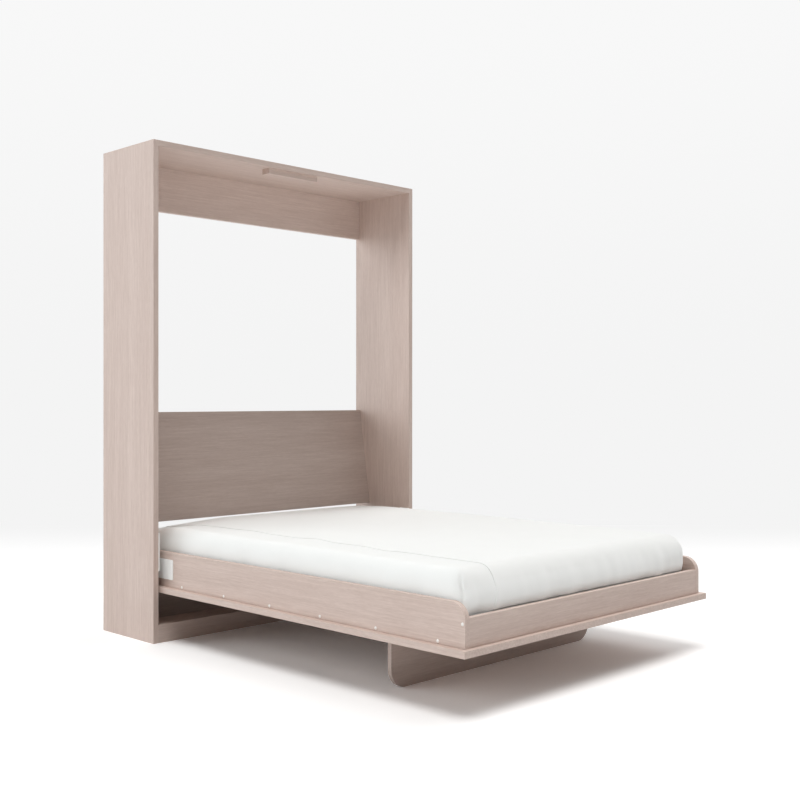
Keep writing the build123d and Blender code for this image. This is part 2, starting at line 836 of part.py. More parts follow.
save("right_tray_bracket", mirrored(bracket))
save("tray_bracket_screws", merged(bracket_screw_solids))

bush = joined(
    rod_x(bush_radius, across(bracket_outer_depth), across(rail_depth + rail_bore_depth), pivot_y, pivot_z),
    rod_x(
        bush_flange_radius,
        across(bracket_outer_depth - bush_flange_thickness),
        across(bracket_outer_depth),
        pivot_y,
        pivot_z,
    ),
)
bush = bush - rod_x(
    pivot_pin_radius + running_gap,
    across(bracket_outer_depth - bush_flange_thickness),
    across(rail_depth + rail_bore_depth),
    pivot_y,
    pivot_z,
)
save("pivot_bushes", merged([bush, mirrored(bush)]))

crank_stud = rod_x(
    crank_stud_radius, across(eye_high + open_pivot_gap), across(rail_depth), crank_y, crank_z
)
save("crank_studs", merged([crank_stud, mirrored(crank_stud)]))

# Gas strut, drawn at full length along the line from its rear anchor to the crank stud
strut_run_y = crank_y - anchor_y
strut_run_z = crank_z - anchor_z
strut_length = math.hypot(strut_run_y, strut_run_z)
strut_angle = math.degrees(math.atan2(strut_run_z, strut_run_y))


def strut_rod(radius, low, high):
    # A cylinder on the strut's axis between two distances from its anchor.
    middle = (low + high) / 2 / strut_length
    place = Pos(across(strut_plane), anchor_y + strut_run_y * middle, anchor_z + strut_run_z * middle)
    return place * Rot(strut_angle - 90, 0, 0) * Cylinder(radius, high - low)


strut_tube = joined(
    rod_x(strut_eye_radius, across(eye_low), across(eye_high), anchor_y, anchor_z),
    strut_rod(strut_neck_radius, 0, strut_tube_start),
    strut_rod(strut_tube_radius, strut_tube_start, strut_tube_end),
)
strut_tube = cut_all(
    strut_tube,
    [
        rod_x(crank_stud_radius + running_gap, across(eye_low), across(eye_high), anchor_y, anchor_z),
        strut_rod(strut_bore_radius, strut_tube_start + strut_end_wall, strut_tube_end - strut_gland_length),
        strut_rod(strut_rod_radius + running_gap, strut_tube_end - strut_gland_length, strut_tube_end),
    ],
)
save("left_strut_cylinder", strut_tube)
save("right_strut_cylinder", mirrored(strut_tube))

neck_start = strut_length - strut_neck_length
strut_piston_rod = joined(
    strut_rod(strut_rod_radius, piston_start, neck_start + rod_in_neck),
    strut_rod(piston_radius, piston_start, piston_start + piston_length),
)
save("left_strut_rod", strut_piston_rod)
save("right_strut_rod", mirrored(strut_piston_rod))

strut_socket = joined(
    rod_x(strut_eye_radius, across(eye_low), across(eye_high), crank_y, crank_z),
    strut_rod(strut_neck_radius, neck_start, strut_length),
)
strut_socket = strut_socket - strut_rod(strut_rod_radius + set_gap, neck_start, neck_start + rod_in_neck)
save("left_strut_socket", strut_socket)
save("right_strut_socket", mirrored(strut_socket))

# What the joints need to know
closed_y = pivot_y + crank_up
closed_z = pivot_z + crank_forward
closed_length = math.hypot(closed_y - anchor_y, closed_z - anchor_z)
closed_angle = math.degrees(math.atan2(closed_z - anchor_z, closed_y - anchor_y)) % 360
print("cabinet", cabinet_width, cabinet_depth, cabinet_height)
print("pivot", pivot_y, pivot_z, "leg hinge", hinge_y, hinge_z)
print("strut anchor", anchor_y, anchor_z, "crank", crank_y, crank_z)
print("strut open", strut_length, strut_angle, "closed", closed_length, closed_angle)
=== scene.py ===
import math
import bmesh
import bpy
from mathutils import Matrix, Vector, noise


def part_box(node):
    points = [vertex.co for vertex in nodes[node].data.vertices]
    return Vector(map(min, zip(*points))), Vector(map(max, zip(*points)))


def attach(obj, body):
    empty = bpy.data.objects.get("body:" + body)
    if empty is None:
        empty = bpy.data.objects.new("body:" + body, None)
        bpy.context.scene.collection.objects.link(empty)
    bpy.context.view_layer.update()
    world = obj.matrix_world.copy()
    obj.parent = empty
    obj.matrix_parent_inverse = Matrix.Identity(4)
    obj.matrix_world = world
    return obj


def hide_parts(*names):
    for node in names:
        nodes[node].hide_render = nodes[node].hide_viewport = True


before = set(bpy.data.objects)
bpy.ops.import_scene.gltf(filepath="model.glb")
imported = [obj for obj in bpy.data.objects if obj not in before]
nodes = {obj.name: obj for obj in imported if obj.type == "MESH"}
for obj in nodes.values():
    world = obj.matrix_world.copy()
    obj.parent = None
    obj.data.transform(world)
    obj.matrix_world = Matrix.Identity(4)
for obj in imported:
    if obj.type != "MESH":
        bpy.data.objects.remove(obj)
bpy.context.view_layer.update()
scene = bpy.context.scene
print("frame loaded:", len(nodes), "nodes")


def hexColour(code):
    # an sRGB hex value as the linear colour that shaders take
    parts = [int(code[i:i + 2], 16) / 255 for i in (1, 3, 5)]
    linear = [c / 12.92 if c <= 0.04045 else ((c + 0.055) / 1.055) ** 2.4 for c in parts]
    return tuple(linear) + (1.0,)


def addNode(tree, kind, settings=None, inputs=None):
    node = tree.nodes.new(kind)
    for key, value in (settings or {}).items():
        setattr(node, key, value)
    for key, value in (inputs or {}).items():
        if isinstance(value, bpy.types.NodeSocket):
            tree.links.new(value, node.inputs[key])
        else:
            node.inputs[key].default_value = value
    return node


def newMaterial(name):
    material = bpy.data.materials.new(name)
    material.use_nodes = True
    tree = material.node_tree
    tree.nodes.clear()
    shader = addNode(tree, "ShaderNodeBsdfPrincipled")
    addNode(tree, "ShaderNodeOutputMaterial", None, {"Surface": shader.outputs[0]})
    return material, tree, shader


def newPiece(name, bm, material, body):
    mesh = bpy.data.meshes.new(name)
    bm.to_mesh(mesh)
    bm.free()
    piece = bpy.data.objects.new(name, mesh)
    scene.collection.objects.link(piece)
    mesh.materials.append(material)
    for face in mesh.polygons:
        face.use_smooth = True
    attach(piece, body)
    return piece


def smoothStep(low, high, value):
    t = min(1.0, max(0.0, (value - low) / (high - low)))
    return t * t * (3 - 2 * t)


def blendTo(low, high, share):
    return low + (high - low) * share


# camera, at the eye level of someone seated and all but level
cameraSettings = {
    "place": (-3.4475, -4.511, 1.0555),
    "heading": 45.373,  # degrees, clockwise from straight at the wall
    "tilt": -0.074,
    "roll": 0.021,
    "lens": 49.926,
    "sensor": 36,
}

cameraData = bpy.data.cameras.new("studioCamera")
cameraData.lens = cameraSettings["lens"]
cameraData.sensor_width = cameraSettings["sensor"]
camera = bpy.data.objects.new("studioCamera", cameraData)
camera.matrix_world = (
    Matrix.Translation(cameraSettings["place"])
    @ Matrix.Rotation(math.radians(-cameraSettings["heading"]), 4, "Z")
    @ Matrix.Rotation(math.radians(90 + cameraSettings["tilt"]), 4, "X")
    @ Matrix.Rotation(math.radians(cameraSettings["roll"]), 4, "Z")
)
scene.collection.objects.link(camera)
scene.camera = camera
scene.view_settings.view_transform = "Standard"

# studio: soft lamps, and a pale floor that runs into a pale wall
studio = {
    "worldLevel": 0.19,  # even light from all round
    # direction to the lamp, angular width in degrees, level on a surface facing it, colour
    "lamps": {
        "overheadLeft": ((-0.30, -0.18, 1.0), 28, 0.505, "#fffefd"),
        "overheadRight": ((0.45, -0.1, 0.9), 50, 0.205, "#fffefd"),
        "highRight": ((0.8, 0, 0.7), 50, 0.205, "#ffffff"),
        "backLeft": ((-0.75, 0.65, 0.18), 50, 0.47, "#f6fcff"),
    },
    "floorHalfSize": 40.0,
    "floorTone": "#eeeeee",  # what the floor reflects onto the bed
    "floorShown": "#ffffff",  # what the camera sees of it
    "floorGain": 0.15,  # how much whiter than that it is shown
    "wallLow": "#f4f4f4",
    "wallHigh": "#f8f8f8",
    "wallRise": 0.36,  # sine of the angle above the horizon where wallHigh is reached
    "coveStart": -0.6,  # metres from the bed's wall corner, along the camera's heading
    "coveEnd": 3.7,
}


def addSun(name, towards, width, level, colour):
    data = bpy.data.lights.new(name, "SUN")
    data.angle = math.radians(width)
    data.energy = level * math.pi
    data.color = hexColour(colour)[:3]
    lamp = bpy.data.objects.new(name, data)
    lamp.rotation_mode = "QUATERNION"
    lamp.rotation_quaternion = Vector(towards).to_track_quat("Z", "Y")
    scene.collection.objects.link(lamp)


for lampName, (towards, width, level, colour) in studio["lamps"].items():
    addSun(lampName, towards, width, level, colour)


def seenDirectly(tree):
    # 1 for camera, glossy and transmission rays, 0 for the rays that light the object
    path = addNode(tree, "ShaderNodeLightPath")
    shown = addNode(tree, "ShaderNodeMath", {"operation": "MAXIMUM"},
                    {0: path.outputs["Is Camera Ray"], 1: path.outputs["Is Glossy Ray"]})
    return addNode(tree, "ShaderNodeMath", {"operation": "MAXIMUM"},
                   {0: shown.outputs[0], 1: path.outputs["Is Transmission Ray"]}).outputs[0]


world = bpy.data.worlds.new("studioWorld")
scene.world = world
world.use_nodes = True
tree = world.node_tree
tree.nodes.clear()
ray = addNode(tree, "ShaderNodeTexCoord")
split = addNode(tree, "ShaderNodeSeparateXYZ", None, {0: ray.outputs["Generated"]})
rise = addNode(tree, "ShaderNodeMapRange", {"interpolation_type": "SMOOTHSTEP"},
               {"Value": split.outputs["Z"], "From Min": 0.0, "From Max": studio["wallRise"]})
wall = addNode(tree, "ShaderNodeMix", {"data_type": "RGBA"},
               {"Factor": rise.outputs[0], "A": hexColour(studio["wallLow"]),
                "B": hexColour(studio["wallHigh"])})
lit = addNode(tree, "ShaderNodeBackground", None,
              {"Color": (1, 1, 1, 1), "Strength": studio["worldLevel"]})
shown = addNode(tree, "ShaderNodeBackground", None, {"Color": wall.outputs["Result"], "Strength": 1.0})
mixed = addNode(tree, "ShaderNodeMixShader", None,
                {0: seenDirectly(tree), 1: lit.outputs[0], 2: shown.outputs[0]})
addNode(tree, "ShaderNodeOutputWorld", None, {"Surface": mixed.outputs[0]})

bm = bmesh.new()
bmesh.ops.create_grid(bm, x_segments=8, y_segments=8, size=studio["floorHalfSize"])
floorMesh = bpy.data.meshes.new("studioFloor")
bm.to_mesh(floorMesh)
bm.free()
floor = bpy.data.objects.new("studioFloor", floorMesh)
scene.collection.objects.link(floor)

floorMaterial = bpy.data.materials.new("paintedStudioFloor")  # matt emulsion, even and white
floorMaterial.use_nodes = True
tree = floorMaterial.node_tree
tree.nodes.clear()
place = addNode(tree, "ShaderNodeTexCoord")
heading = math.radians(cameraSettings["heading"])
along = addNode(tree, "ShaderNodeVectorMath", {"operation": "DOT_PRODUCT"},
                {0: place.outputs["Object"], 1: (math.sin(heading), math.cos(heading), 0)})
cove = addNode(tree, "ShaderNodeMapRange", {"interpolation_type": "SMOOTHSTEP"},
               {"Value": along.outputs["Value"],
                "From Min": studio["coveStart"], "From Max": studio["coveEnd"]})
bounce = addNode(tree, "ShaderNodeBsdfDiffuse", None, {"Color": hexColour(studio["floorTone"])})
plain = addNode(tree, "ShaderNodeBsdfDiffuse", None, {"Color": hexColour(studio["floorShown"])})
extra = addNode(tree, "ShaderNodeBsdfDiffuse", None, {"Color": (studio["floorGain"],) * 3 + (1.0,)})
bright = addNode(tree, "ShaderNodeAddShader", None, {0: plain.outputs[0], 1: extra.outputs[0]})
wallGlow = addNode(tree, "ShaderNodeEmission", None,
                   {"Color": hexColour(studio["wallLow"]), "Strength": 1.0})
cameraFloor = addNode(tree, "ShaderNodeMixShader", None,
                      {0: cove.outputs[0], 1: bright.outputs[0], 2: wallGlow.outputs[0]})
both = addNode(tree, "ShaderNodeMixShader", None,
               {0: seenDirectly(tree), 1: bounce.outputs[0], 2: cameraFloor.outputs[0]})
addNode(tree, "ShaderNodeOutputMaterial", None, {"Surface": both.outputs[0]})
floorMesh.materials.append(floorMaterial)
print("studio ready")

# boards: melamine-faced chipboard printed as limed oak, embossed along the grain
oak = {
    "light": "#dccac0", "middle": "#cebab0", "dark": "#c0aa9f",
    "lightAt": 0.73, "middleAt": 0.5, "darkAt": 0.27,  # places of the three on the ramp
    "poreLength": 0.03,  # metres along the grain
    "poreWidth": 0.0022,  # real pores are about 1 mm wide, drawn wider so that they show
    "streakLength": 0.20, "streakWidth": 0.0075,
    "bandLength": 1.4, "bandWidth": 0.06,
    "shares": (0.32, 0.46, 0.22),  # of pores, streaks and bands in the tone
    "patternRoughness": 0.55,
    "bendsPerMetre": 1.1, "bend": 0.02,  # slow bends, so that no grain line is ruled straight
    "roughnessInPores": 0.58, "roughnessBetween": 0.48,
    "bump": 0.10, "poreDepth": 0.0003,
    "shift": (0.83, 0.37, 0.59),  # from one board's part of the pattern to the next one's
    # the boards are all one decor; these are darkened to stand in for shade that the lamps don't give
    "tones": {"headboard": 0.815, "leg_board": 0.79, "lower_back_panel": 0.72, "plinth_front": 0.92},
}
turns = {  # from a piece's grain to the pattern's, which runs along X
    "X": (0, 0, 0), "Y": (0, 0, math.radians(-90)), "Z": (0, math.radians(90), 0),
}


def toned(code, tone):
    red, green, blue, alpha = hexColour(code)
    return red * tone, green * tone, blue * tone, alpha


def oakMelamine(name, grain, start, tone):
    material, tree, shader = newMaterial("oakMelamine." + name)
    place = addNode(tree, "ShaderNodeTexCoord")
    turned = addNode(tree, "ShaderNodeMapping", None,
                     {"Vector": place.outputs["Object"], "Rotation": turns[grain], "Location": start})
    bends = addNode(tree, "ShaderNodeTexNoise", None,
                    {"Vector": turned.outputs[0], "Scale": oak["bendsPerMetre"], "Detail": 0.0})
    shifted = addNode(tree, "ShaderNodeVectorMath", {"operation": "MULTIPLY_ADD"},
                      {0: bends.outputs["Color"], 1: (0.0, oak["bend"], oak["bend"]), 2: turned.outputs[0]})

    def streaks(length, width, detail):
        stretched = addNode(tree, "ShaderNodeMapping", None,
                            {"Vector": shifted.outputs[0], "Scale": (1 / length, 1 / width, 1 / width)})
        return addNode(tree, "ShaderNodeTexNoise", None,
                       {"Vector": stretched.outputs[0], "Scale": 1.0, "Detail": detail,
                        "Roughness": oak["patternRoughness"]}).outputs["Fac"]

    pores = streaks(oak["poreLength"], oak["poreWidth"], 1.0)
    fine = streaks(oak["streakLength"], oak["streakWidth"], 2.0)
    bands = streaks(oak["bandLength"], oak["bandWidth"], 1.0)
    blend = 0.0
    for pattern, share in zip((pores, fine, bands), oak["shares"]):
        blend = addNode(tree, "ShaderNodeMath", {"operation": "MULTIPLY_ADD"},
                        {0: pattern, 1: share, 2: blend}).outputs[0]
    ramp = addNode(tree, "ShaderNodeValToRGB", None, {"Fac": blend})
    stops = ramp.color_ramp.elements
    stops[0].position, stops[0].color = oak["darkAt"], toned(oak["dark"], tone)
    stops[1].position, stops[1].color = oak["lightAt"], toned(oak["light"], tone)
    middle = stops.new(oak["middleAt"])
    middle.color = toned(oak["middle"], tone)
    tree.links.new(ramp.outputs["Color"], shader.inputs["Base Color"])
    rough = addNode(tree, "ShaderNodeMapRange", None,
                    {"Value": pores, "To Min": oak["roughnessInPores"], "To Max": oak["roughnessBetween"]})
    tree.links.new(rough.outputs[0], shader.inputs["Roughness"])
    emboss = addNode(tree, "ShaderNodeBump", None,
                     {"Strength": oak["bump"], "Distance": oak["poreDepth"], "Height": pores})
    tree.links.new(emboss.outputs[0], shader.inputs["Normal"])
    return material


boards = {  # the axis that each board's grain runs along
    "left_side_panel": "Z", "right_side_panel": "Z", "top_panel": "X", "rear_top_rail": "X",
    "headboard": "X", "lower_back_panel": "X", "plinth_front": "X", "plinth_top": "X", "stop_bar": "X",
    "left_headboard_wedge": "Z", "right_headboard_wedge": "Z", "face_panel": "Y", "left_rail": "Y",
    "right_rail": "Y", "foot_board": "X", "leg_board": "X",
}


def dress(node, material):
    nodes[node].data.materials.clear()
    nodes[node].data.materials.append(material)


for count, (board, grain) in enumerate(boards.items()):
    start = tuple(count * step for step in oak["shift"])
    dress(board, oakMelamine(board, grain, start, oak["tones"].get(board, 1.0)))
print("boards dressed:", len(boards))

# fittings: one colour each, with a fine speckle in their gloss and surface
speckle = {"detail": 3.0, "roughnessSpread": 0.08, "depth": 0.0002}


def evenFinish(name, colour, metallic, roughness, grit, bump):
    # grit is the speckle's size in metres
    material, tree, shader = newMaterial(name)
    place = addNode(tree, "ShaderNodeTexCoord")
    specks = addNode(tree, "ShaderNodeTexNoise", None,
                     {"Vector": place.outputs["Object"], "Scale": 1 / grit, "Detail": speckle["detail"]})
    shader.inputs["Base Color"].default_value = hexColour(colour)
    shader.inputs["Metallic"].default_value = metallic
    rough = addNode(tree, "ShaderNodeMapRange", None,
                    {"Value": specks.outputs["Fac"], "To Min": roughness - speckle["roughnessSpread"],
                     "To Max": roughness + speckle["roughnessSpread"]})
    tree.links.new(rough.outputs[0], shader.inputs["Roughness"])
    dimple = addNode(tree, "ShaderNodeBump", None,
                     {"Strength": bump, "Distance": speckle["depth"], "Height": specks.outputs["Fac"]})
    tree.links.new(dimple.outputs[0], shader.inputs["Normal"])
    return material


# sprayed and baked, with a faint orange peel
whitePowder = evenFinish("whitePowderCoat", "#fbfbf9", 0.0, 0.38, 0.0012, 0.25)
blackPowder = evenFinish("blackPowderCoat", "#1b1b1c", 0.0, 0.45, 0.0012, 0.25)
zincPlate = evenFinish("zincPlatedSteel", "#b4b5b8", 1.0, 0.36, 0.004, 0.08)  # bright, a little mottled
chromedRod = evenFinish("hardChromedRod", "#c9cacd", 1.0, 0.14, 0.01, 0.02)  # ground, then plated
whiteNylon = evenFinish("whiteNylon", "#e2e1dc", 0.0, 0.5, 0.003, 0.1)  # moulded, slightly waxy

# planed softwood, with grain lines about 3 mm apart
pine = {
    "light": "#e0c093", "dark": "#c9a06c",
    "alongPerMetre": 2.0, "acrossPerMetre": 330.0, "detail": 2.0,
    "roughness": 0.7, "bump": 0.3, "depth": 0.0005,
}


def planedPine(name, grain):
    material, tree, shader = newMaterial(name)
    place = addNode(tree, "ShaderNodeTexCoord")
    turned = addNode(tree, "ShaderNodeMapping", None,
                     {"Vector": place.outputs["Object"], "Rotation": turns[grain]})
    stretched = addNode(tree, "ShaderNodeMapping", None,
                        {"Vector": turned.outputs[0],
                         "Scale": (pine["alongPerMetre"], pine["acrossPerMetre"], pine["acrossPerMetre"])})
    lines = addNode(tree, "ShaderNodeTexNoise", None,
                    {"Vector": stretched.outputs[0], "Scale": 1.0, "Detail": pine["detail"]})
    colour = addNode(tree, "ShaderNodeMix", {"data_type": "RGBA"},
                     {"Factor": lines.outputs["Fac"], "A": hexColour(pine["dark"]),
                      "B": hexColour(pine["light"])})
    tree.links.new(colour.outputs["Result"], shader.inputs["Base Color"])
    shader.inputs["Roughness"].default_value = pine["roughness"]
    raised = addNode(tree, "ShaderNodeBump", None,
                     {"Strength": pine["bump"], "Distance": pine["depth"], "Height": lines.outputs["Fac"]})
    tree.links.new(raised.outputs[0], shader.inputs["Normal"])
    return material


pineAlongX = planedPine("planedPineAcross", "X")
pineAlongY = planedPine("planedPineLengthwise", "Y")

finishes = {
    "left_pivot_plate": whitePowder, "right_pivot_plate": whitePowder,
    "left_tray_bracket": whitePowder, "right_tray_bracket": whitePowder,
    "tray_bracket_screws": whitePowder, "head_stop_plate": whitePowder,
    "wall_brackets": zincPlate, "wall_bracket_screws": zincPlate,
    "pivot_plate_screws": zincPlate, "head_stop_screws": zincPlate,
    "hinge_panel_leaves": zincPlate, "hinge_panel_screws": zincPlate,
    "hinge_leg_leaves": zincPlate, "hinge_leg_screws": zincPlate, "hinge_pins": zincPlate,
    "left_pivot_pin": zincPlate, "right_pivot_pin": zincPlate,
    "strut_anchor_studs": zincPlate, "crank_studs": zincPlate,
    "left_strut_socket": zincPlate, "right_strut_socket": zincPlate,
    "left_strut_cylinder": blackPowder, "right_strut_cylinder": blackPowder,
    "left_strut_rod": chromedRod, "right_strut_rod": chromedRod, "pivot_bushes": whiteNylon,
    "slats": pineAlongX, "head_batten": pineAlongX, "carcass_dowels": pineAlongX,
    "centre_batten": pineAlongY, "left_ledger": pineAlongY, "right_ledger": pineAlongY,
}
for node, material in finishes.items():
    dress(node, material)
print("fittings dressed:", len(finishes))

# round white caps over the rail screws
caps = {
    "radius": 0.0062, "height": 0.0026, "steps": 20,
    "domeAngles": (0.0, 0.35, 0.75, 1.15),  # radians from the rim up the outline, short of the tip
    "shankRadius": 0.002, "shankLength": 0.035, "shankSides": 12,
    "headStandsOut": 0.001,  # a screw's vertices farther out than this belong to its head
    "headReach": 0.015,  # and those nearer than this to each other belong to one head
    "weld": 0.00002,
}

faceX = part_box("right_rail")[1].x  # the rails' outer faces
screwHeads = []
for vertex in nodes["rail_screws"].data.vertices:
    co = vertex.co
    if abs(co.x) > faceX + caps["headStandsOut"]:
        for head in screwHeads:
            apart = max(abs(head[0].y - co.y), abs(head[0].z - co.z))
            if head[0].x * co.x > 0 and apart < caps["headReach"]:
                head.append(co.copy())
                break
        else:
            screwHeads.append([co.copy()])

bm = bmesh.new()
for head in screwHeads:
    middle = sum(head, Vector()) / len(head)
    side = 1 if middle.x > 0 else -1
    # half a dome's outline, spun round the screw's axis
    outline = [bm.verts.new((0, caps["radius"] * math.cos(a), caps["height"] * math.sin(a)))
               for a in caps["domeAngles"]]
    outline.append(bm.verts.new((0, 0, caps["height"])))
    edges = [bm.edges.new(pair) for pair in zip(outline, outline[1:])]
    bmesh.ops.spin(bm, geom=outline + edges, cent=(0, 0, 0), axis=(0, 0, 1),
                   angle=math.tau, steps=caps["steps"], use_merge=True)
    bmesh.ops.create_cone(bm, cap_ends=True, segments=caps["shankSides"], radius1=caps["shankRadius"],
                          radius2=caps["shankRadius"], depth=caps["shankLength"],
                          matrix=Matrix.Translation((0, 0, -caps["shankLength"] / 2)))
    fresh = [v for v in bm.verts if not v.tag]
    turn = Matrix.Rotation(math.radians(90 * side), 4, "Y")
    bmesh.ops.transform(bm, matrix=Matrix.Translation((side * faceX, middle.y, middle.z)) @ turn,
                        verts=fresh)
    for v in fresh:
        v.tag = True
bmesh.ops.remove_doubles(bm, verts=bm.verts, dist=caps["weld"])
bmesh.ops.recalc_face_normals(bm, faces=bm.faces)
capPlastic = evenFinish("whiteCapPlastic", "#f2efeb", 0.0, 0.35, 0.003, 0.05)  # moulded, fairly glossy
capPiece = newPiece("railScrewCaps", bm, capPlastic, "bed")
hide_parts("rail_screws")
print("screw caps:", len(screwHeads))

# mattress: a firm block in a taut cover; lengths in metres, heights above its middle
mattress = {
    # how far in from each side its top edges are rounded, and how far down
    "leftRadius": 0.055, "rightRadius": 0.065, "footRadius": 0.09, "headRadius": 0.05,
    "topRadius": 0.085, "footTopRadius": 0.14, "bottomRadius": 0.024,
    "footCornerLeft": 0.014, "footCornerRight": 0.070,  # its upright corners
    "spacing": 0.018, "fineSpacing": 0.007, "fineReach": 0.09,  # between cuts, finer near the edges
    # the head end sags, most of all at its left corner
    "headDrop": 0.006, "headCornerDrop": 0.024, "headRightDrop": 0.004,
    "headReach": 0.30, "headFlat": 0.02,
    # broad hollows in the top
    "swell": 0.0025, "swellSize": 0.40, "swellStretch": (1.0, 0.7, 0.3),
    "swellPlace": (3.1, 7.7, 0), "swellMean": 0.4,
    # upright folds round the sides, broad ones with finer ones between them
    "foldDepth": 0.0062, "sideFold": 0.0060, "foldMean": 0.45, "foldWidth": 0.085,
    "sideStretch": 1.4, "foldFine": 0.5, "fineWidth": 0.45, "broadRise": 1.5, "fineRise": 2.5,
    "footSeed": 5.0, "sideSeed": 9.0, "fineSeed": 10.0,
    "footReach": 0.14, "sideReach": 0.08,
    "tuckDepth": 0.006,  # how much farther in the foot is where the foot board hides it
    # the pinched seam near the left foot corner, leaning back from its lower place to its upper one
    "pinchPlaces": (0.028, 0.051), "pinchHeights": (0.007, 0.070), "pinchOverrun": 1.2,
    "pinchWidth": 0.003, "pinchDepth": 0.007, "pinchCuts": 5,
    # start and end of the change from one shape to the next
    "changes": {
        "topEdge": (2.2, 0.3),  # from upright corner to top edge, in top radii below the top
        "acrossFoot": (-0.4, 0.6),  # from the left corner's radius to the right one's, in half widths
        "nearFoot": (0.5, 0.85),  # from the sides' radius to the corners', in half lengths
        "footEdge": (0.80, 1.0),  # to the foot's deeper rounding, in half lengths
        "footEdgeRight": (0.35, 0.62),  # and back from it, in metres across
        "top": (-0.02, 0.09),  # to the hollows of the top
        "headCorner": (-0.75, -0.20),  # from the head's left corner, in metres across
        "headRight": (0.45, 0.66),  # to its right one
        "folds": (0.03, 0.095),  # from folded sides to smooth ones
        "pinchTop": (0.065, 0.095),  # from the seam to its end
        "tuck": (-0.004, 0.030),  # from hidden foot to foot in view, above the foot board's top
    },
}
padLow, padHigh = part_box("mattress")
padMiddle = (padLow + padHigh) / 2
padHalf = (padHigh - padLow) / 2
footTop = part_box("foot_board")[1].z - padMiddle.z


def changed(name, value, unit=1.0, base=0.0):
    start, end = mattress["changes"][name]
    return smoothStep(base + start * unit, base + end * unit, value)


def rounded(point):
    # moves a point on the mattress's box in to its rounded surface; each edge has its own radius
    x, y, z = point
    upper = changed("topEdge", z, -mattress["topRadius"], padHalf.z)
    sideways = mattress["rightRadius"] if x > 0 else mattress["leftRadius"]
    if y < 0:
        corner = blendTo(mattress["footCornerLeft"], mattress["footCornerRight"],
                         changed("acrossFoot", x, padHalf.x))
        radiusX = blendTo(sideways, blendTo(corner, sideways, upper), changed("nearFoot", -y, padHalf.y))
        radiusY = blendTo(corner, mattress["footRadius"], upper)
    else:
        radiusX = sideways
        radiusY = mattress["headRadius"]
    deeper = changed("footEdge", -y, padHalf.y) * (1 - changed("footEdgeRight", x))
    radiusTop = blendTo(mattress["topRadius"], mattress["footTopRadius"], deeper)
    coreX = max(radiusX - padHalf.x, min(padHalf.x - radiusX, x))
    coreY = max(radiusY - padHalf.y, min(padHalf.y - radiusY, y))
    coreZ = max(mattress["bottomRadius"] - padHalf.z, min(padHalf.z - radiusTop, z))
    radiusZ = radiusTop if z > coreZ else mattress["bottomRadius"]
    away = Vector(((x - coreX) / radiusX, (y - coreY) / radiusY, (z - coreZ) / radiusZ))
    if away.length < 1e-6:
        return point
    away.normalize()
    return Vector((coreX + away.x * radiusX, coreY + away.y * radiusY, coreZ + away.z * radiusZ))


def foldWave(along, height, seed):
    width, fineWidth = mattress["foldWidth"], mattress["fineWidth"] * mattress["foldWidth"]
    broad = noise.noise(Vector((along / width, height * mattress["broadRise"], seed)))
    fine = noise.noise(Vector((along / fineWidth, height * mattress["fineRise"],
                               seed + mattress["fineSeed"])))
    return mattress["foldMean"] + (broad + mattress["foldFine"] * fine)


def pinch(y, z):
    # how far in the seam is drawn at a place on the left side
    (lowPlace, highPlace), (low, high) = mattress["pinchPlaces"], mattress["pinchHeights"]
    share = max(0.0, min(mattress["pinchOverrun"], (z - low) / (high - low)))
    offset = (y + padHalf.y - blendTo(lowPlace, highPlace, share)) / mattress["pinchWidth"]
    return mattress["pinchDepth"] * math.exp(-offset * offset) * (1 - changed("pinchTop", z))


def shaped(point):
    # adds the sagging head end, soft hollows, upright folds and the pinched seam
    x, y, z = point
    moved = Vector(point)
    top = changed("top", z)
    towardsHead = smoothStep(padHalf.y - mattress["headReach"], padHalf.y - mattress["headFlat"], y)
    moved.z -= top * towardsHead * (mattress["headDrop"]
                                    + mattress["headCornerDrop"] * (1 - changed("headCorner", x))
                                    + mattress["headRightDrop"] * changed("headRight", x))
    stretched = Vector([c * s for c, s in zip((x, y, z), mattress["swellStretch"])])
    wave = noise.noise(stretched / mattress["swellSize"] + Vector(mattress["swellPlace"]))
    moved.z += top * mattress["swell"] * (wave - mattress["swellMean"])
    side = 1 - changed("folds", z)
    nearFoot = 1 - smoothStep(0.0, mattress["footReach"], y + padHalf.y)
    tuck = 1 - changed("tuck", z, base=footTop)
    moved.y += nearFoot * (side * mattress["foldDepth"] * foldWave(x, z, mattress["footSeed"])
                           + mattress["tuckDepth"] * tuck)
    nearSide = smoothStep(padHalf.x - mattress["sideReach"], padHalf.x, abs(x))
    inward = side * mattress["sideFold"] * foldWave(y / mattress["sideStretch"], z, mattress["sideSeed"])
    if x < 0:
        inward += pinch(y, z)
    moved.x -= math.copysign(nearSide * inward, x)
    return moved


def cutPlaces(axis, low, high):
    # planes across an axis, close together near the rounded edges
    half, fine, reach = padHalf[axis], mattress["fineSpacing"], mattress["fineReach"]
    count = max(2, round(2 * (half - reach) / mattress["spacing"]))
    inner = [(reach - half) + 2 * (half - reach) * i / count for i in range(count + 1)]
    steps = round(reach / fine)
    outer = [half - reach * i / steps for i in range(steps)]
    places = inner + outer + [-c for c in outer]
    if axis == 1:  # and across the pinched seam
        step, (nearest, farthest) = 0.5 * mattress["pinchWidth"], mattress["pinchPlaces"]
        extra = mattress["pinchCuts"]  # on each side of it
        count = round((farthest - nearest) / step) + 2 * extra
        places = [c for c in places if not -step < c + half - nearest + extra * step < (count + 1) * step]
        places += [nearest - half + (k - extra) * step for k in range(count + 1)]
    return [c for c in sorted(places) if low < c < high]


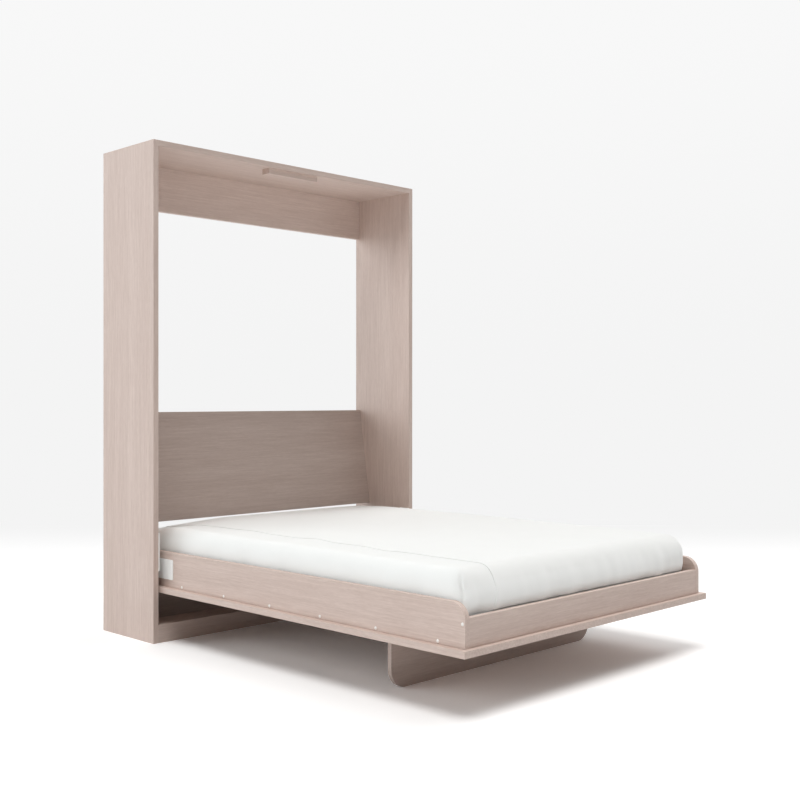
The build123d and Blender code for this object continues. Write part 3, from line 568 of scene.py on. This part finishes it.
def cutBlock(low, high):
    # a box from low to high in the mattress's own frame, divided for shaping
    bm = bmesh.new()
    bmesh.ops.create_cube(bm, size=1.0)
    for v in bm.verts:
        v.co = Vector([(a + b) / 2 + c * (b - a) for a, b, c in zip(low, high, v.co)])
    margin = 0.0005  # so that no cut falls on the box's own faces
    for axis in range(3):
        normal = Vector([1.0 if k == axis else 0.0 for k in range(3)])
        for place in cutPlaces(axis, low[axis] + margin, high[axis] - margin):
            bmesh.ops.bisect_plane(bm, geom=bm.verts[:] + bm.edges[:] + bm.faces[:],
                                   plane_co=normal * place, plane_no=normal)
    return bm


# plain weave, faintly blotched; real threads are about 0.3 mm apart, drawn at 2.4 mm so that they show
cotton = {
    "colour": "#f5f6f4", "shade": "#f2f3f1", "blotchesPerMetre": 9.0, "blotchDetail": 3.0,
    "threadSpacing": 0.0023687, "unevenness": 0.3, "threadDepth": 0.0003,
    "roughness": 0.9, "sheen": 0.25, "bump": 0.3,
}


def wovenCotton(name):
    material, tree, shader = newMaterial(name)
    place = addNode(tree, "ShaderNodeTexCoord")
    scale = math.pi / 10 / cotton["threadSpacing"]  # at scale 1 a wave's bands are pi / 10 apart
    weft, warp = [addNode(tree, "ShaderNodeTexWave", {"wave_type": "BANDS", "bands_direction": axis},
                          {"Vector": place.outputs["Object"], "Scale": scale,
                           "Distortion": cotton["unevenness"]}) for axis in "XY"]
    weave = addNode(tree, "ShaderNodeMath", {"operation": "MAXIMUM"},
                    {0: weft.outputs["Fac"], 1: warp.outputs["Fac"]})
    soft = addNode(tree, "ShaderNodeTexNoise", None,
                   {"Vector": place.outputs["Object"], "Scale": cotton["blotchesPerMetre"],
                    "Detail": cotton["blotchDetail"]})
    tone = addNode(tree, "ShaderNodeMix", {"data_type": "RGBA"},
                   {"Factor": soft.outputs["Fac"], "A": hexColour(cotton["shade"]),
                    "B": hexColour(cotton["colour"])})
    tree.links.new(tone.outputs["Result"], shader.inputs["Base Color"])
    shader.inputs["Roughness"].default_value = cotton["roughness"]
    shader.inputs["Sheen Weight"].default_value = cotton["sheen"]
    raised = addNode(tree, "ShaderNodeBump", None,
                     {"Strength": cotton["bump"], "Distance": cotton["threadDepth"],
                      "Height": weave.outputs[0]})
    tree.links.new(raised.outputs[0], shader.inputs["Normal"])
    return material


bm = cutBlock(-padHalf, padHalf)
for v in bm.verts:
    v.co = padMiddle + shaped(rounded(v.co))
padPiece = newPiece("mattressPad", bm, wovenCotton("wovenCoverCotton"), "bed")
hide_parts("mattress")
print("mattress made")

# top sheet, laid over the mattress with its left edge showing
sheet = {
    "gap": 0.0006, "thickness": 0.0014,
    "hemStep": 0.004, "hemCuts": 6,  # finer cuts beside the hem
    "hemSink": 0.0018, "hemSinkReach": 0.010,  # down the foot the hem is pressed into the mattress
    "hemSinkFrom": 1.98, "hemSinkFull": 2.06,  # from the head, along the cloth
    "hemFade": 0.30,  # how far across the cloth the hem's wander reaches
    # how far the hem wanders from its straight line, at distances from the head along the cloth
    "hemLine": (
        (0.00, 0.0), (0.18, 0.004), (0.34, 0.030), (0.50, 0.031), (0.62, 0.047), (0.79, 0.028),
        (0.92, 0.031), (1.02, 0.065), (1.16, 0.038), (1.31, 0.041), (1.45, 0.018), (1.54, 0.036),
        (1.70, 0.034), (1.85, 0.032), (1.95, 0.026), (2.05, 0.020), (2.15, -0.003),
    ),
    "rowReach": 0.012, "rowSlant": 0.25,  # which edges count as a row when the cloth is measured
}
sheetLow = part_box("top_sheet")[0]
leftEdge = sheetLow.x - padMiddle.x
hemLevel = sheetLow.z - padMiddle.z

# the part of the mattress's box that the cloth covers
bm = cutBlock(Vector((leftEdge, -padHalf.y, hemLevel)), padHalf)
across = Vector((1.0, 0.0, 0.0))
for i in range(1, sheet["hemCuts"] + 1):
    bmesh.ops.bisect_plane(bm, geom=bm.verts[:] + bm.edges[:] + bm.faces[:],
                           plane_co=across * (leftEdge + i * sheet["hemStep"]), plane_no=across)
onPlane = 1e-5
openFaces = [f for f in bm.faces if all(abs(v.co.x - leftEdge) < onPlane for v in f.verts)
             or all(abs(v.co.z - hemLevel) < onPlane for v in f.verts)]
bmesh.ops.delete(bm, geom=openFaces, context="FACES")


def hemWander(fromHead):
    for (startPlace, startShift), (endPlace, endShift) in zip(sheet["hemLine"], sheet["hemLine"][1:]):
        if fromHead <= endPlace:
            return blendTo(startShift, endShift, smoothStep(startPlace, endPlace, fromHead))
    return endShift


lifts = {}
for v in bm.verts:
    fromHem = v.co.x - leftEdge
    fromHead = padHalf.y - v.co.y + (padHalf.z - v.co.z if v.co.y < 0 else 0.0)
    v.co.x += hemWander(fromHead) * (1 - smoothStep(0.0, sheet["hemFade"], fromHem))
    sink = smoothStep(sheet["hemSinkFrom"], sheet["hemSinkFull"], fromHead)
    sink *= 1 - smoothStep(0.0, sheet["hemSinkReach"], fromHem)
    lifts[v] = sheet["gap"] - sheet["hemSink"] * sink
    v.co = shaped(rounded(v.co))
bm.normal_update()
for v in bm.verts:
    v.co = padMiddle + v.co + v.normal * lifts[v]


def clothLength(crossAxis, place):
    # the cloth's length along its longest row of edges near a place on the axis across them
    rows = {}
    for edge in bm.edges:
        a, b = ((v.co - padMiddle)[crossAxis] for v in edge.verts)
        if max(abs(a - place), abs(b - place)) < sheet["rowReach"]:
            if abs(a - b) < sheet["rowSlant"] * edge.calc_length():
                rows.setdefault(round(a, 3), []).append(edge.calc_length())
    return max(sum(row) for row in rows.values())


flatWidth = clothLength(1, 0.0)
flatLength = clothLength(0, 0.0)
sheetPiece = newPiece("topSheet", bm, wovenCotton("percaleSheetCotton"), "bed")
solid = sheetPiece.modifiers.new("hemThickness", "SOLIDIFY")
solid.thickness = sheet["thickness"]
solid.offset = 1.0
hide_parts("top_sheet")
print("sheet made, flat size", round(flatWidth, 3), round(flatLength, 3))
